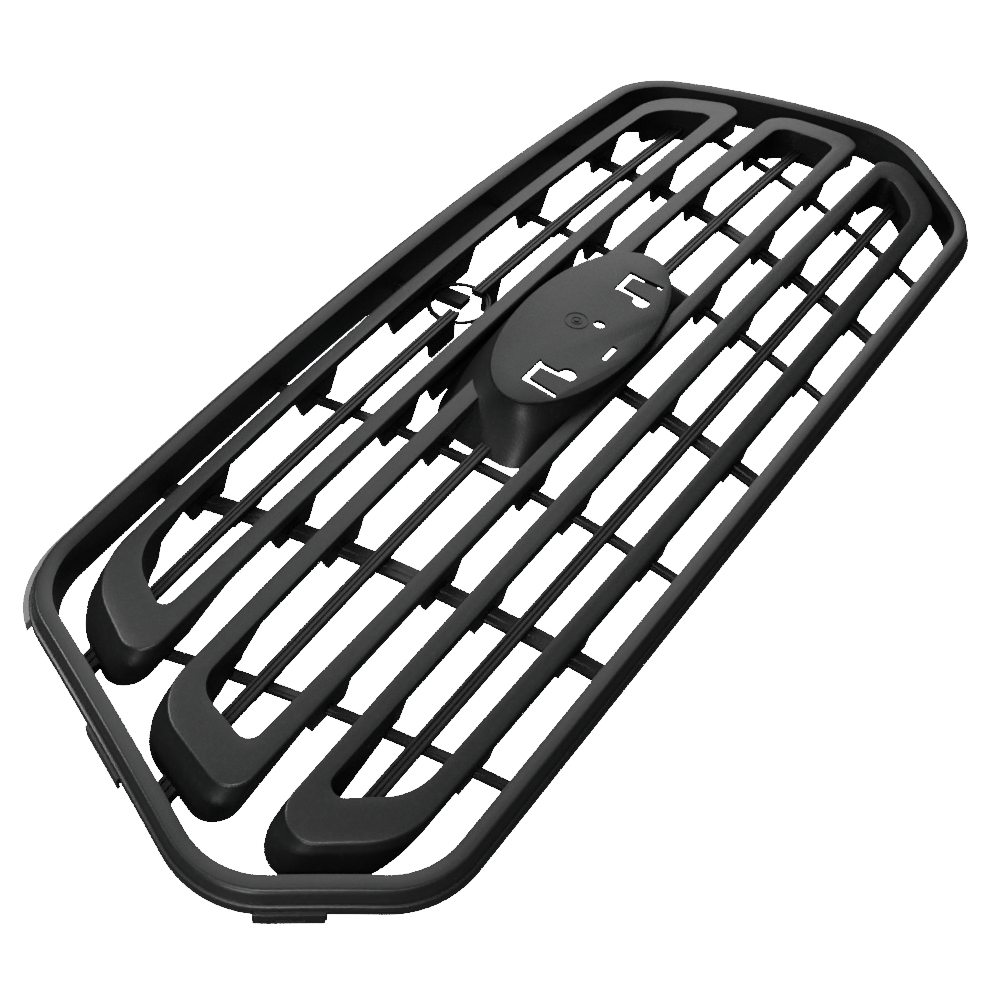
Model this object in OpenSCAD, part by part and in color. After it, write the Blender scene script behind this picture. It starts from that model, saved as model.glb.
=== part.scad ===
// Front grille of a van: a curved surround with seven upright ribs, three
// stadium-shaped bar loops, slender slats between the bars, an oval badge pod
// and a lock collar. Millimetres. +X along the width, +Y towards the top edge,
// +Z out of the front. The lowest point of the surround rests on z = 0.

/* [Nose] */
// Radius of the front surface along the width
nose_width_radius = 2500; // [1800:50:4000]
// Radius of the front surface from top to bottom
nose_height_radius = 770; // [500:10:1500]
// Height of the crown line above the badge centre
crown_y = 17.6; // [0:0.2:40]
// Sideways bow of the bars, as a radius in the face plane
bow_radius = 6500; // [4000:100:12000]

/* [Bars] */
// Front face of the bars above the rib fronts
bar_front = 28; // [20:0.5:35]
// Depth of the lips along both edges of a bar
lip_depth = 7; // [4:0.5:10]
// Depth of the stiffening web below the face
web_depth = 11; // [8:0.5:16]
// Thickness of the web
web_thickness = 4.6; // [3:0.2:8]
// Level of the lowest edge of the web fins, below the rib fronts
fin_bottom = -7; // [-12:0.5:-3]
// Half length of a fin at its deep edge
fin_half = 16; // [10:1:25]
// Length of the sloping end of a fin
fin_slope = 10; // [5:1:20]

/* [Ribs] */
// Thickness of the ribs
rib_thickness = 4.2; // [3:0.1:8]
// Width of the wide ribs
rib_wide = 14.2; // [10:0.2:20]
// Width of the narrow ribs
rib_narrow = 8.2; // [6:0.2:12]
// Fan of the ribs: growth of their spacing per millimetre of height
rib_fan = 0.000723; // [0:0.00001:0.002]
// Play between a rib and the notch that holds it
notch_play = 0.25; // [0.1:0.05:0.6]

/* [Slats] */
// Front face of the slats above the rib fronts
slat_front = 9.2; // [5:0.2:15]
// Width of a slat
slat_width = 10.4; // [8:0.2:14]
// Depth of a slat
slat_depth = 6.5; // [4:0.5:9]

/* [Surround] */
// Width of the surround's front face
face_width = 17; // [12:0.2:24]
// Front face of the surround above the rib fronts
face_front = 30; // [26:0.5:34]
// Thickness of the surround's front face
face_thickness = 4; // [3:0.5:6]
// Thickness of the surround's side walls
wall = 3; // [2:0.2:5]
// Level of the back edge of the outer wall
back_level = 12; // [8:0.5:16]
// Level of the back edge of the inner wall
inner_back_level = -4.5; // [-12:0.5:0]

/* [Badge pod] */
// Length of the badge plate
plate_length = 202; // [160:1:240]
// Height of the badge plate
plate_height = 98; // [80:1:120]
// Front face of the badge plate above the rib fronts
plate_front = 41.4; // [36:0.2:46]
// Thickness of the badge plate
plate_thickness = 3; // [2:0.5:5]
// Length of the pod at its base
pod_base_length = 253; // [220:1:280]
// Height of the pod at its base
pod_base_height = 76; // [70:1:84]

/* [Lock collar] */
// Height of the collar centre above the badge centre
collar_y = 111; // [108:1:112]
// Inner radius of the collar
collar_bore = 19.5; // [16:0.5:20]
// Outer radius of the collar
collar_radius = 23; // [22:0.5:24]
// Back edge of the collar
collar_back = -18; // [-24:1:-8]

/* [Hidden] */
$fn = 96;
lift = 57.07;
shift_y = -5.2;
grille_black = [0.17, 0.17, 0.175];
rib_spot = [-356, -240.4, -131.2, 0, 131.2, 240.4, 356];
rib_width = [rib_narrow, rib_wide, rib_narrow, rib_wide, rib_narrow, rib_wide, rib_narrow];

// ---- outlines --------------------------------------------------------------

function unit(v) = v / norm(v);
function flat(q) = [q[0], q[1]];

// Points of the arc that rounds corner c between its neighbours p and n.
function round_corner(p, c, n, r) =
    r <= 0 ? [c] :
    let (u = unit(p - c), v = unit(n - c))
    let (half = acos(max(-1, min(1, u * v))) / 2)
    let (centre = c + unit(u + v) * r / sin(half))
    let (a = c + u * r / tan(half) - centre)
    let (turn = 180 - 2 * half, sense = cross(c - p, n - c) > 0 ? 1 : -1)
    let (steps = max(3, round(turn / 8)))
    [for (i = [0 : steps])
        let (w = sense * turn * i / steps)
        centre + [a[0] * cos(w) - a[1] * sin(w), a[0] * sin(w) + a[1] * cos(w)]];

// Outline through [x, y, radius] corners, every corner rounded.
function rounded(q) =
    let (k = len(q))
    [for (i = [0 : k - 1])
        for (s = round_corner(flat(q[(i + k - 1) % k]), flat(q[i]), flat(q[(i + 1) % k]), q[i][2])) s];

// The same corners moved outwards by d, for a parallel outline.
function grown(q, d) =
    let (k = len(q))
    [for (i = [0 : k - 1])
        let (e = unit(flat(q[i]) - flat(q[(i + k - 1) % k])), f = unit(flat(q[(i + 1) % k]) - flat(q[i])))
        let (m = [e[1], -e[0]], n = [f[1], -f[0]])
        let (c = flat(q[i]) + d * (m + n) / (1 + m * n))
        [c[0], c[1], q[i][2] > 0 ? max(0.5, q[i][2] + d) : 0]];

// Height of a bowed edge at x, from its height in the middle and at the end.
function bowed(y_mid, y_end, x_end, x) = y_mid + (y_end - y_mid) * x * x / (x_end * x_end);

// Mirror-symmetric ring corners: edge heights in the middle, then the right
// hand end corners from top to bottom as [x, y, radius].
function ring_corners(top_mid, low_mid, ends) =
    let (a = ends[0], b = ends[len(ends) - 1], share = [0.75, 0.45, 0.15])
    concat(
        [for (s = share) [a[0] * s, bowed(top_mid, a[1], a[0], a[0] * s), 0]],
        [for (i = [2 : -1 : 0]) [-a[0] * share[i], bowed(top_mid, a[1], a[0], a[0] * share[i]), 0]],
        [for (e = ends) [-e[0], e[1], e[2]]],
        [for (s = share) [-b[0] * s, bowed(low_mid, b[1], b[0], b[0] * s), 0]],
        [for (i = [2 : -1 : 0]) [b[0] * share[i], bowed(low_mid, b[1], b[0], b[0] * share[i]), 0]],
        [for (i = [len(ends) - 1 : -1 : 0]) ends[i]]);

upper_outer = ring_corners(145.8, 60.7, [[369.7, 148.4, 58], [409.6, 68.5, 17.5]]);
upper_window = ring_corners(131.6, 74.1, [[342, 132.7, 41], [367.3, 84.2, 7]]);
middle_outer = ring_corners(39.1, -50.4, [[419.5, 45.1, 37], [442.8, -39.1, 18.4]]);
middle_window = ring_corners(23.5, -38, [[394.7, 28.1, 19.8], [407.8, -23.7, 9.2]]);
lower_outer = ring_corners(-70.6, -148.6, [[457.9, -62, 19.8], [396.2, -137.3, 59]]);
lower_window = ring_corners(-86.5, -133.6, [[409.2, -77, 8], [371.2, -122.8, 45]]);
frame_inner = ring_corners(169.7, -167.2, [[390.3, 174.1, 49.5], [479.8, -57.2, 57.5], [400.7, -158.7, 57.5]]);
frame_outer = grown(frame_inner, face_width);

// Points of a bowed strip of width w from x_a to x_b.
function strip(y_mid, y_end, x_end, x_a, x_b, w) =
    concat(
        [for (i = [0 : 8]) let (x = x_a + (x_b - x_a) * i / 8) [x, bowed(y_mid, y_end, x_end, x) - w / 2]],
        [for (i = [8 : -1 : 0]) let (x = x_a + (x_b - x_a) * i / 8) [x, bowed(y_mid, y_end, x_end, x) + w / 2]]);

// Height of the rib-front surface at a place on the nose.
function nose_z(x, y) = -x * x / (2 * nose_width_radius) - pow(y - crown_y, 2) / (2 * nose_height_radius);

// Sideways place of rib k at height y.
function rib_x(k, y) = rib_spot[k] * (1 + rib_fan * y);

// Corner of an ellipse outline.
function oval(a, b, steps) = [for (i = [0 : steps - 1]) [a * cos(360 * i / steps), b * sin(360 * i / steps)]];

// The same with blunter ends: the exponent is 2 for an ellipse.
function blunt(c, e) = sign(c) * pow(abs(c), 2 / e);
function blunt_oval(a, b, e, steps) =
    [for (i = [0 : steps - 1]) let (w = 360 * i / steps) [a * blunt(cos(w), e), b * blunt(sin(w), e)]];

// ---- building blocks -------------------------------------------------------

// Everything behind the nose surface raised by a level.
module nose(level) {
    translate([0, 0, -nose_width_radius])
        rotate(a = -120, v = [1, 1, 1])
            rotate([0, 0, -14])
                rotate_extrude(angle = 28, $fn = 720)
                    intersection() {
                        translate([nose_width_radius - nose_height_radius, crown_y])
                            circle(r = nose_height_radius + level, $fn = 720);
                        translate([nose_width_radius - 150, -250])
                            square([250, 500]);
                    }
}

// The child outline as a wall between two levels of the nose.
module layer(low, high) {
    difference() {
        intersection() {
            translate([0, 0, -120])
                linear_extrude(height = 240)
                    children();
            nose(high);
        }
        nose(low);
    }
}

module ring(outer, inner) {
    difference() {
        polygon(rounded(outer));
        polygon(rounded(inner));
    }
}

// Room taken by rib k, with play on both sides.
module rib_column(k, play) {
    lean = atan(rib_spot[k] * rib_fan);
    translate([rib_spot[k], 0, 0])
        rotate([0, 0, -lean])
            translate([-rib_width[k] / 2 - play, -190])
                square([rib_width[k] + 2 * play, 380]);
}

// Columns where the webs deepen around the ribs that cross a bar at height y.
module fin_columns(ribs, y, top) {
    for (k = ribs)
        translate([rib_x(k, y), y, nose_z(rib_x(k, y), y)])
            rotate([90, 0, 0])
                linear_extrude(height = 40, center = true)
                    polygon([[-fin_half, fin_bottom - 8], [fin_half, fin_bottom - 8],
                        [fin_half + fin_slope, top], [-fin_half - fin_slope, top]]);
}

// Ribs cut out of whatever crosses them.
module rib_notches(ribs) {
    for (k = ribs)
        layer(fin_bottom - 20, 0) rib_column(k, notch_play);
}

// One bar loop: lips and face, web, fins at the ribs, and walls at the ends.
module loop(outer, window, y_top, y_low, ribs, end_x) {
    web_inset = (15 - web_thickness) / 2;
    difference() {
        union() {
            layer(bar_front - lip_depth, bar_front) ring(outer, window);
            layer(bar_front - web_depth, bar_front - lip_depth)
                ring(grown(outer, -web_inset), grown(window, web_inset));
            intersection() {
                layer(fin_bottom, bar_front - web_depth)
                    ring(grown(outer, -web_inset), grown(window, web_inset));
                union() {
                    fin_columns(ribs, y_top, bar_front - web_depth + 2);
                    fin_columns(ribs, y_low, bar_front - web_depth + 2);
                }
            }
            layer(-4, bar_front - lip_depth)
                intersection() {
                    union() {
                        ring(outer, grown(outer, -wall));
                        ring(grown(window, wall), window);
                    }
                    union() {
                        translate([end_x, -250]) square([200, 500]);
                        translate([-end_x - 200, -250]) square([200, 500]);
                    }
                }
        }
        rib_notches([0 : 6]);
    }
}

// Room kept for the badge pod between the bars.
module pod_column() {
    translate([0, 0, -60])
        linear_extrude(height = 160)
            polygon(blunt_oval(pod_column_length / 2, pod_column_height / 2, 2.6, 64));
}
pod_column_length = 232;
pod_column_height = 88;

module slat(y_mid, y_end, x_end, x_a, x_b, window, ribs) {
    difference() {
        intersection() {
            union() {
                layer(slat_front - slat_depth, slat_front)
                    polygon(strip(y_mid, y_end, x_end, x_a, x_b, slat_width));
                intersection() {
                    layer(-4, slat_front - slat_depth)
                        polygon(strip(y_mid, y_end, x_end, x_a, x_b, web_thickness));
                    fin_columns(ribs, (y_mid + y_end) / 2, slat_front - slat_depth);
                }
            }
            translate([0, 0, -120])
                linear_extrude(height = 240)
                    polygon(rounded(window));
        }
        rib_notches(ribs);
    }
}

module rib(k, top = 300) {
    layer(-rib_thickness, 0)
        intersection() {
            rib_column(k, 0);
            polygon(rounded(frame_inner));
            translate([-500, -300]) square([1000, 300 + top]);
        }
}
outer_rib_top = 78;

// ---- sub-parts -------------------------------------------------------------

module surround_frame() color(grille_black) {
    layer(face_front - face_thickness, face_front) ring(frame_outer, frame_inner);
    layer(back_level, face_front - face_thickness) ring(frame_outer, grown(frame_outer, -wall));
    layer(inner_back_level, face_front - face_thickness) ring(grown(frame_inner, wall), frame_inner);
}

// Lip standing outside the wall along the top edge and round both top corners.
module top_flange() color(grille_black)
    layer(flange_low, flange_high)
        intersection() {
            ring(grown(frame_outer, flange_width), frame_outer);
            translate([-500, flange_end_y]) square([1000, 300]);
        }
flange_low = 12;
flange_high = 20;
flange_width = 4;
flange_end_y = 160;

module upper_loop() color(grille_black) loop(upper_outer, upper_window, 141, 69, [1 : 5], 352);

module middle_loop() color(grille_black)
    difference() {
        loop(middle_outer, middle_window, 34, -38, [0 : 6], 398);
        pod_column();
    }

module lower_loop() color(grille_black) loop(lower_outer, lower_window, -75, -136, [0 : 6], 392);

module upper_slat_left() color(grille_black) slat(105.6, 108.8, 287.5, -420, -15, upper_window, [0 : 2]);
module upper_slat_right() color(grille_black) slat(105.6, 108.8, 287.5, 15, 420, upper_window, [4 : 6]);

module middle_slat_left() color(grille_black)
    difference() {
        slat(1.4, 4.5, 287.5, -470, 0, middle_window, [0 : 2]);
        pod_column();
    }

module middle_slat_right() color(grille_black)
    difference() {
        slat(1.4, 4.5, 287.5, 0, 470, middle_window, [4 : 6]);
        pod_column();
    }

module lower_slat() color(grille_black) slat(-106.4, -101.3, 287.5, -470, 470, lower_window, [0 : 6]);

module rib_1() color(grille_black) rib(0, outer_rib_top);
module rib_2() color(grille_black) rib(1);
module rib_3() color(grille_black) rib(2);
module rib_4() color(grille_black)
    difference() {
        union() {
            rib(3);
            layer(-rib_thickness, 0) translate([0, collar_y]) circle(r = collar_seat);
        }
        translate([0, collar_y, -80]) cylinder(h = 160, r = collar_radius);
    }
collar_seat = 27.5;
module rib_5() color(grille_black) rib(4);
module rib_6() color(grille_black) rib(5);
module rib_7() color(grille_black) rib(6, outer_rib_top);

// The pod flares out along its length, and draws in and gets blunter across it.
function flare(t) = pow(1 - t, 2.2);
function draw_in(t) = sqrt(max(0, 1 - t));
pod_rings = 6;
pod_sides = 48;
function pod_shell(a0, b0, a1, b1, z0, z1) =
    [for (j = [0 : pod_rings]) let (t = j / pod_rings)
        for (i = [0 : pod_sides - 1]) let (w = 360 * i / pod_sides)
            [(a1 + (a0 - a1) * flare(t)) * blunt(cos(w), 2 + 0.8 * (1 - t)),
             (b1 + (b0 - b1) * draw_in(t)) * blunt(sin(w), 2 + 0.8 * (1 - t)), z0 + (z1 - z0) * t]];
function pod_faces() =
    concat(
        [[for (i = [0 : pod_sides - 1]) i]],
        [[for (i = [pod_sides - 1 : -1 : 0]) pod_rings * pod_sides + i]],
        [for (j = [0 : pod_rings - 1]) for (i = [0 : pod_sides - 1])
            let (n = (i + 1) % pod_sides)
            [j * pod_sides + i, (j + 1) * pod_sides + i, (j + 1) * pod_sides + n]],
        [for (j = [0 : pod_rings - 1]) for (i = [0 : pod_sides - 1])
            let (n = (i + 1) % pod_sides)
            [j * pod_sides + i, (j + 1) * pod_sides + n, j * pod_sides + n]]);

// Open tube under the badge plate; the plate rests on its front rim.
module badge_pod() color(grille_black)
    difference() {
        polyhedron(pod_shell(pod_base_length / 2, pod_base_height / 2, plate_length / 2, plate_height / 2,
            0.2, plate_front - plate_thickness), pod_faces());
        polyhedron(pod_shell(pod_base_length / 2 - wall, pod_base_height / 2 - wall,
            plate_length / 2 - wall, plate_height / 2 - wall, -1, plate_front - plate_thickness + 1), pod_faces());
    }

// One hooked slot of the badge plate: a tongue between two arms, one with a round end.
module hooked_slot() {
    translate([-79.5, -0.8]) square([26, 4.6]);
    translate([-79.5, -26]) square([4.8, 27]);
    translate([-61, -22]) square([5.5, 24]);
    translate([-54.6, -20.4]) circle(r = 6.4);
}

module badge_plate() color(grille_black)
    translate([0, 0, plate_front - plate_thickness])
        linear_extrude(height = plate_thickness)
            difference() {
                polygon(oval(plate_length / 2, plate_height / 2, 96));
                hooked_slot();
                translate([-5.4, 0]) mirror([1, 0]) hooked_slot();
                translate([6.6, -9.5]) circle(r = 4.2);
                translate([-24.5, -34.2]) square([17.6, 4.2]);
            }

module lock_collar() color(grille_black)
    translate([0, collar_y, collar_back - 6])
        difference() {
            cylinder(h = -collar_back, r = collar_radius);
            translate([0, 0, -1]) cylinder(h = 2 - collar_back, r = collar_bore);
        }

// Short struts from the surround to the ends of the upper and middle loops.
module loop_struts() color(grille_black)
    layer(strut_low, strut_high)
        difference() {
            intersection() {
                for (side = [-1, 1])
                    union() {
                        translate([side * 408 - 30, strut_upper_y]) square([60, strut_width]);
                        translate([side * 446 - 30, strut_middle_y]) square([60, strut_width]);
                    }
                polygon(rounded(frame_inner));
            }
            polygon(rounded(upper_outer));
            polygon(rounded(middle_outer));
        }
strut_low = -3;
strut_high = 5;
strut_width = 14;
strut_upper_y = 105;
strut_middle_y = 2;

// Slotted tabs hanging from the outer wall; the slots run through the tabs.
module side_tabs() color(grille_black)
    difference() {
        layer(tab_low, tab_high)
            intersection() {
                ring(grown(frame_outer, tab_thickness), frame_outer);
                tab_bands(0);
            }
        layer(tab_low + 2.2, tab_low + 4.2)
            intersection() {
                ring(grown(frame_outer, tab_thickness + 2), grown(frame_outer, -2));
                tab_bands(tab_margin);
            }
    }

// Bands across the grille that hold the upper and the lower pair of tabs.
module tab_bands(inset) {
    translate([-600, upper_tab_y + inset]) square([1200, tab_span - 2 * inset]);
    translate([-600, lower_tab_y + inset * 0.7]) square([1200, (tab_span - 2 * inset) * 0.8]);
}
tab_low = 6.5;
tab_high = 17;
tab_thickness = 2.4;
tab_span = 42;
tab_margin = 12;
upper_tab_y = 31;
lower_tab_y = -121;

translate([0, shift_y, lift]) surround_frame();
translate([0, shift_y, lift]) top_flange();
translate([0, shift_y, lift]) upper_loop();
translate([0, shift_y, lift]) middle_loop();
translate([0, shift_y, lift]) lower_loop();
translate([0, shift_y, lift]) upper_slat_left();
translate([0, shift_y, lift]) upper_slat_right();
translate([0, shift_y, lift]) middle_slat_left();
translate([0, shift_y, lift]) middle_slat_right();
translate([0, shift_y, lift]) lower_slat();
translate([0, shift_y, lift]) rib_1();
translate([0, shift_y, lift]) rib_2();
translate([0, shift_y, lift]) rib_3();
translate([0, shift_y, lift]) rib_4();
translate([0, shift_y, lift]) rib_5();
translate([0, shift_y, lift]) rib_6();
translate([0, shift_y, lift]) rib_7();
translate([0, shift_y, lift]) badge_pod();
translate([0, shift_y, lift]) badge_plate();
translate([0, shift_y, lift]) lock_collar();
translate([0, shift_y, lift]) loop_struts();
translate([0, shift_y, lift]) side_tabs();
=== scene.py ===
"""Looks of a moulded black front grille: bar loops, fanned ribs, slats, badge pod and surround.

All design sizes are in millimetres. Heights are given above the badge centre, and levels above the
nose surface on which the fronts of the ribs lie; each piece is made flat and then draped on the nose.
"""

import logging
import math
from collections.abc import Callable, Sequence
from dataclasses import dataclass, field
from enum import Enum

import bmesh
import bpy
from mathutils import Matrix, Vector


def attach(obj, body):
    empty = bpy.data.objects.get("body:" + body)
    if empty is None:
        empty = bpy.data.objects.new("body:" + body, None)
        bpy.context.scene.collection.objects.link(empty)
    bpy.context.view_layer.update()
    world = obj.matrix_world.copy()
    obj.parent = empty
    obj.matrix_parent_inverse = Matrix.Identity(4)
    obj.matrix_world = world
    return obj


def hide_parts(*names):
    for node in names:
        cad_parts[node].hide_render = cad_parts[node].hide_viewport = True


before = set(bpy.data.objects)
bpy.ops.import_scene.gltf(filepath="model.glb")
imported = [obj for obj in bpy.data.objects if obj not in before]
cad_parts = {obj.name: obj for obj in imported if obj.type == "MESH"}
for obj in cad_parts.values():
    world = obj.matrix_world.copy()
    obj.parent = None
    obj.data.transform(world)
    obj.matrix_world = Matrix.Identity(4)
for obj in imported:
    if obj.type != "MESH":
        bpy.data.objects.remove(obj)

LOG = logging.getLogger("grille")
MM = 0.001
RIB_SPOTS = (-356.0, -240.4, -131.2, 0.0, 131.2, 240.4, 356.0)
RIB_FAN = 0.000723
COLLAR_HEIGHT = 112.0


class Slot(Enum):
    """Material slots of the part that a piece can take its finish from."""

    SURROUND = "surround_plastic"
    BARS = "bar_plastic"
    RIBS = "rib_plastic"
    POD = "pod_plastic"


@dataclass(frozen=True)
class Nose:
    """The doubly curved front surface that every member follows."""

    width_radius: float = 2500.0
    height_radius: float = 770.0
    crown_y: float = 17.6
    lift: float = 57.07
    badge_y: float = -5.2

    def height(self, x: float, y: float, level: float = 0.0) -> float:
        """Find the height of a place on the nose.

        Args:
            x: Distance from the middle.
            y: Height above the badge centre.
            level: Distance in front of the rib fronts.

        Returns:
            The row height above the floor, in millimetres.
        """
        up = math.sqrt((self.height_radius + level) ** 2 - (y - self.crown_y) ** 2)
        out = self.width_radius - self.height_radius + up
        return math.sqrt(out * out - x * x) - self.width_radius + self.lift

    def drape(self, bm: bmesh.types.BMesh) -> None:
        """Lay a flat mesh, whose heights are levels, on the nose."""
        for vert in bm.verts:
            x, y, level = vert.co
            vert.co = (x, y + self.badge_y, self.height(x, y, level))


NOSE = Nose()


@dataclass(frozen=True)
class Corner:
    """A rounded corner of an outline, at the crossing of its two edges."""

    x: float
    y: float
    radius: float


def rib_x(index: int, y: float) -> float:
    """Give the sideways place of a rib at a height above the badge centre."""
    return RIB_SPOTS[index] * (1 + RIB_FAN * y)


def bowed(middle: float, end: float, end_x: float, x: float) -> float:
    """Give the height of a bowed edge at x, from its middle and end heights."""
    return middle + (end - middle) * x * x / (end_x * end_x)


def eased(value: float, low: float, high: float) -> float:
    """Ease from 0 below low to 1 above high."""
    share = min(1.0, max(0.0, (value - low) / (high - low)))
    return share * share * (3 - 2 * share)


@dataclass(frozen=True)
class Outline:
    """A mirror-symmetric closed outline with bowed long edges and rounded ends."""

    top_middle: float
    low_middle: float
    ends: tuple[Corner, ...]
    long_steps: int = 56
    end_steps: int = 6
    arc_steps: int = 10

    def path(self) -> list[tuple[Vector, float]]:
        """List the right-to-left corners and edge samples with their radii."""
        first, last = self.ends[0], self.ends[-1]
        share = [1 - 2 * (i + 1) / (self.long_steps + 1) for i in range(self.long_steps)]
        made: list[tuple[Vector, float]] = []
        for s in share:
            x = first.x * s * 0.88
            made.append((Vector((x, bowed(self.top_middle, first.y, first.x, x))), 0.0))
        made += [(Vector((-c.x, c.y)), c.radius) for c in self.ends]
        for s in share:
            x = -last.x * s * 0.88
            made.append((Vector((x, bowed(self.low_middle, last.y, last.x, x))), 0.0))
        made += [(Vector((c.x, c.y)), c.radius) for c in self.ends[::-1]]
        return made

    def points(self, offset: float = 0.0) -> list[Vector]:
        """Trace the outline.

        Args:
            offset: Distance outwards from the outline.

        Returns:
            Points in anticlockwise order, as many for every offset.
        """
        path = self.path()
        count = len(path)
        moved: list[tuple[Vector, float]] = []
        for i, (here, radius) in enumerate(path):
            into = (here - path[i - 1][0]).normalized()
            away = (path[(i + 1) % count][0] - here).normalized()
            normal_in = Vector((into.y, -into.x))
            normal_out = Vector((away.y, -away.x))
            shift = (normal_in + normal_out) / (1 + normal_in.dot(normal_out))
            grown = max(0.4, radius + offset) if radius > 0 else 0.0
            moved.append((here + shift * offset, grown))
        made: list[Vector] = []
        for i, (here, radius) in enumerate(moved):
            if radius <= 0:
                made.append(here)
                continue
            bend = self.arc(moved[i - 1][0], here, moved[(i + 1) % count][0], radius)
            if moved[i - 1][1] > 0:
                last = made[-1]
                made += [last.lerp(bend[0], k / self.end_steps) for k in range(1, self.end_steps)]
            made += bend
        return made

    def arc(self, before: Vector, here: Vector, after: Vector, radius: float) -> list[Vector]:
        """Trace the arc that rounds one corner."""
        u, v = (before - here).normalized(), (after - here).normalized()
        half = u.angle(v) / 2
        centre = here + (u + v).normalized() * radius / math.sin(half)
        arm = here + u * radius / math.tan(half) - centre
        turn = math.pi - 2 * half
        steps = self.arc_steps
        return [
            centre + Matrix.Rotation(turn * i / steps, 2) @ arm for i in range(steps + 1)
        ]


@dataclass(frozen=True)
class Station:
    """One line of a swept section, drawn parallel to an outline.

    The level and the offset may be eased to other values beyond a distance from the middle.
    """

    outline: Outline
    offset: float
    level: float
    end_level: float | None = None
    end_offset: float | None = None
    ease: tuple[float, float] = (330.0, 380.0)
    toward: Outline | None = None
    toward_offset: float = 0.0
    share: float = 0.0
    end_shift: tuple[float, float] = (0.0, 0.0)

    def line(self) -> list[Vector]:
        """Points of the closed line, before the nose bends it."""
        plain = self.outline.points(self.offset)
        if self.toward is not None:
            other = self.toward.points(self.toward_offset)
            plain = [a.lerp(b, self.share) for a, b in zip(plain, other)]
        far = plain if self.end_offset is None else self.outline.points(self.end_offset)
        end_level = self.level if self.end_level is None else self.end_level
        spots = []
        for near, flared in zip(plain, far):
            share = eased(abs(near.x), *self.ease)
            spot = near.lerp(flared, share)
            spot.x += math.copysign(self.end_shift[0] * share, near.x)
            spot.y += self.end_shift[1] * share
            spots.append(Vector((spot.x, spot.y, self.level + (end_level - self.level) * share)))
        return spots

    def draw(self, bm: bmesh.types.BMesh) -> list[bmesh.types.BMVert]:
        """Add the closed line to a mesh and return its vertices in order."""
        return [bm.verts.new(spot) for spot in self.line()]


def sweep(bm: bmesh.types.BMesh, stations: Sequence[Station], closed: bool = True) -> None:
    """Pull the first line of a section from station to station.

    Args:
        bm: Mesh that receives the ring.
        stations: Lines of the section in order.
        closed: Whether the last line joins the first.
    """
    start = stations[0].draw(bm)
    line = list(start)
    edges = [bm.edges.new((a, b)) for a, b in zip(line, line[1:] + line[:1])]
    route = list(stations[1:]) + ([stations[0]] if closed else [])
    for station in route:
        pulled = bmesh.ops.extrude_edge_only(bm, edges=edges)["geom"]
        fresh = {v for v in pulled if isinstance(v, bmesh.types.BMVert)}
        line = [next(e.other_vert(v) for e in v.link_edges if e.other_vert(v) in fresh) for v in line]
        for vert, point in zip(line, station.line()):
            vert.co = point
        edges = [bm.edges.get((a, b)) for a, b in zip(line, line[1:] + line[:1])]
    if closed:
        bmesh.ops.remove_doubles(bm, verts=start + line, dist=1e-4)


def sliced(bm: bmesh.types.BMesh, axis: int, start: float, stop: float, step: float) -> None:
    """Cut a mesh across an axis so that it can bend."""
    count = max(1, round((stop - start) / step))
    normal = Vector((0, 0, 0))
    normal[axis] = 1
    for i in range(1, count):
        spot = normal * (start + (stop - start) * i / count)
        geom = bm.verts[:] + bm.edges[:] + bm.faces[:]
        bmesh.ops.bisect_plane(bm, geom=geom, dist=1e-4, plane_co=spot, plane_no=normal)


def prism(bm: bmesh.types.BMesh, points: Sequence[Vector], along: Vector) -> list[bmesh.types.BMVert]:
    """Extrude a flat polygon.

    Args:
        bm: Mesh that receives the solid.
        points: Corners of the polygon, in order.
        along: Direction and length of the extrusion.

    Returns:
        Every vertex of the solid.
    """
    ring = [bm.verts.new(p) for p in points]
    face = bm.faces.new(ring)
    pulled = bmesh.ops.extrude_face_region(bm, geom=[face])["geom"]
    new = [g for g in pulled if isinstance(g, bmesh.types.BMVert)]
    bmesh.ops.translate(bm, vec=along, verts=new)
    if not face.is_valid:
        bm.faces.new(ring[::-1])
    return ring + new


def softened(bm: bmesh.types.BMesh, radius: float, segments: int = 2, angle: float = 30.0) -> None:
    """Round every edge sharper than an angle."""
    bm.normal_update()
    sharp = [
        e for e in bm.edges if len(e.link_faces) == 2 and e.calc_face_angle(0.0) > math.radians(angle)
    ]
    bmesh.ops.bevel(
        bm, geom=sharp, offset=radius, offset_type="OFFSET", affect="EDGES",
        segments=segments, profile=0.5, material=-1, clamp_overlap=True,
    )


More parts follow.
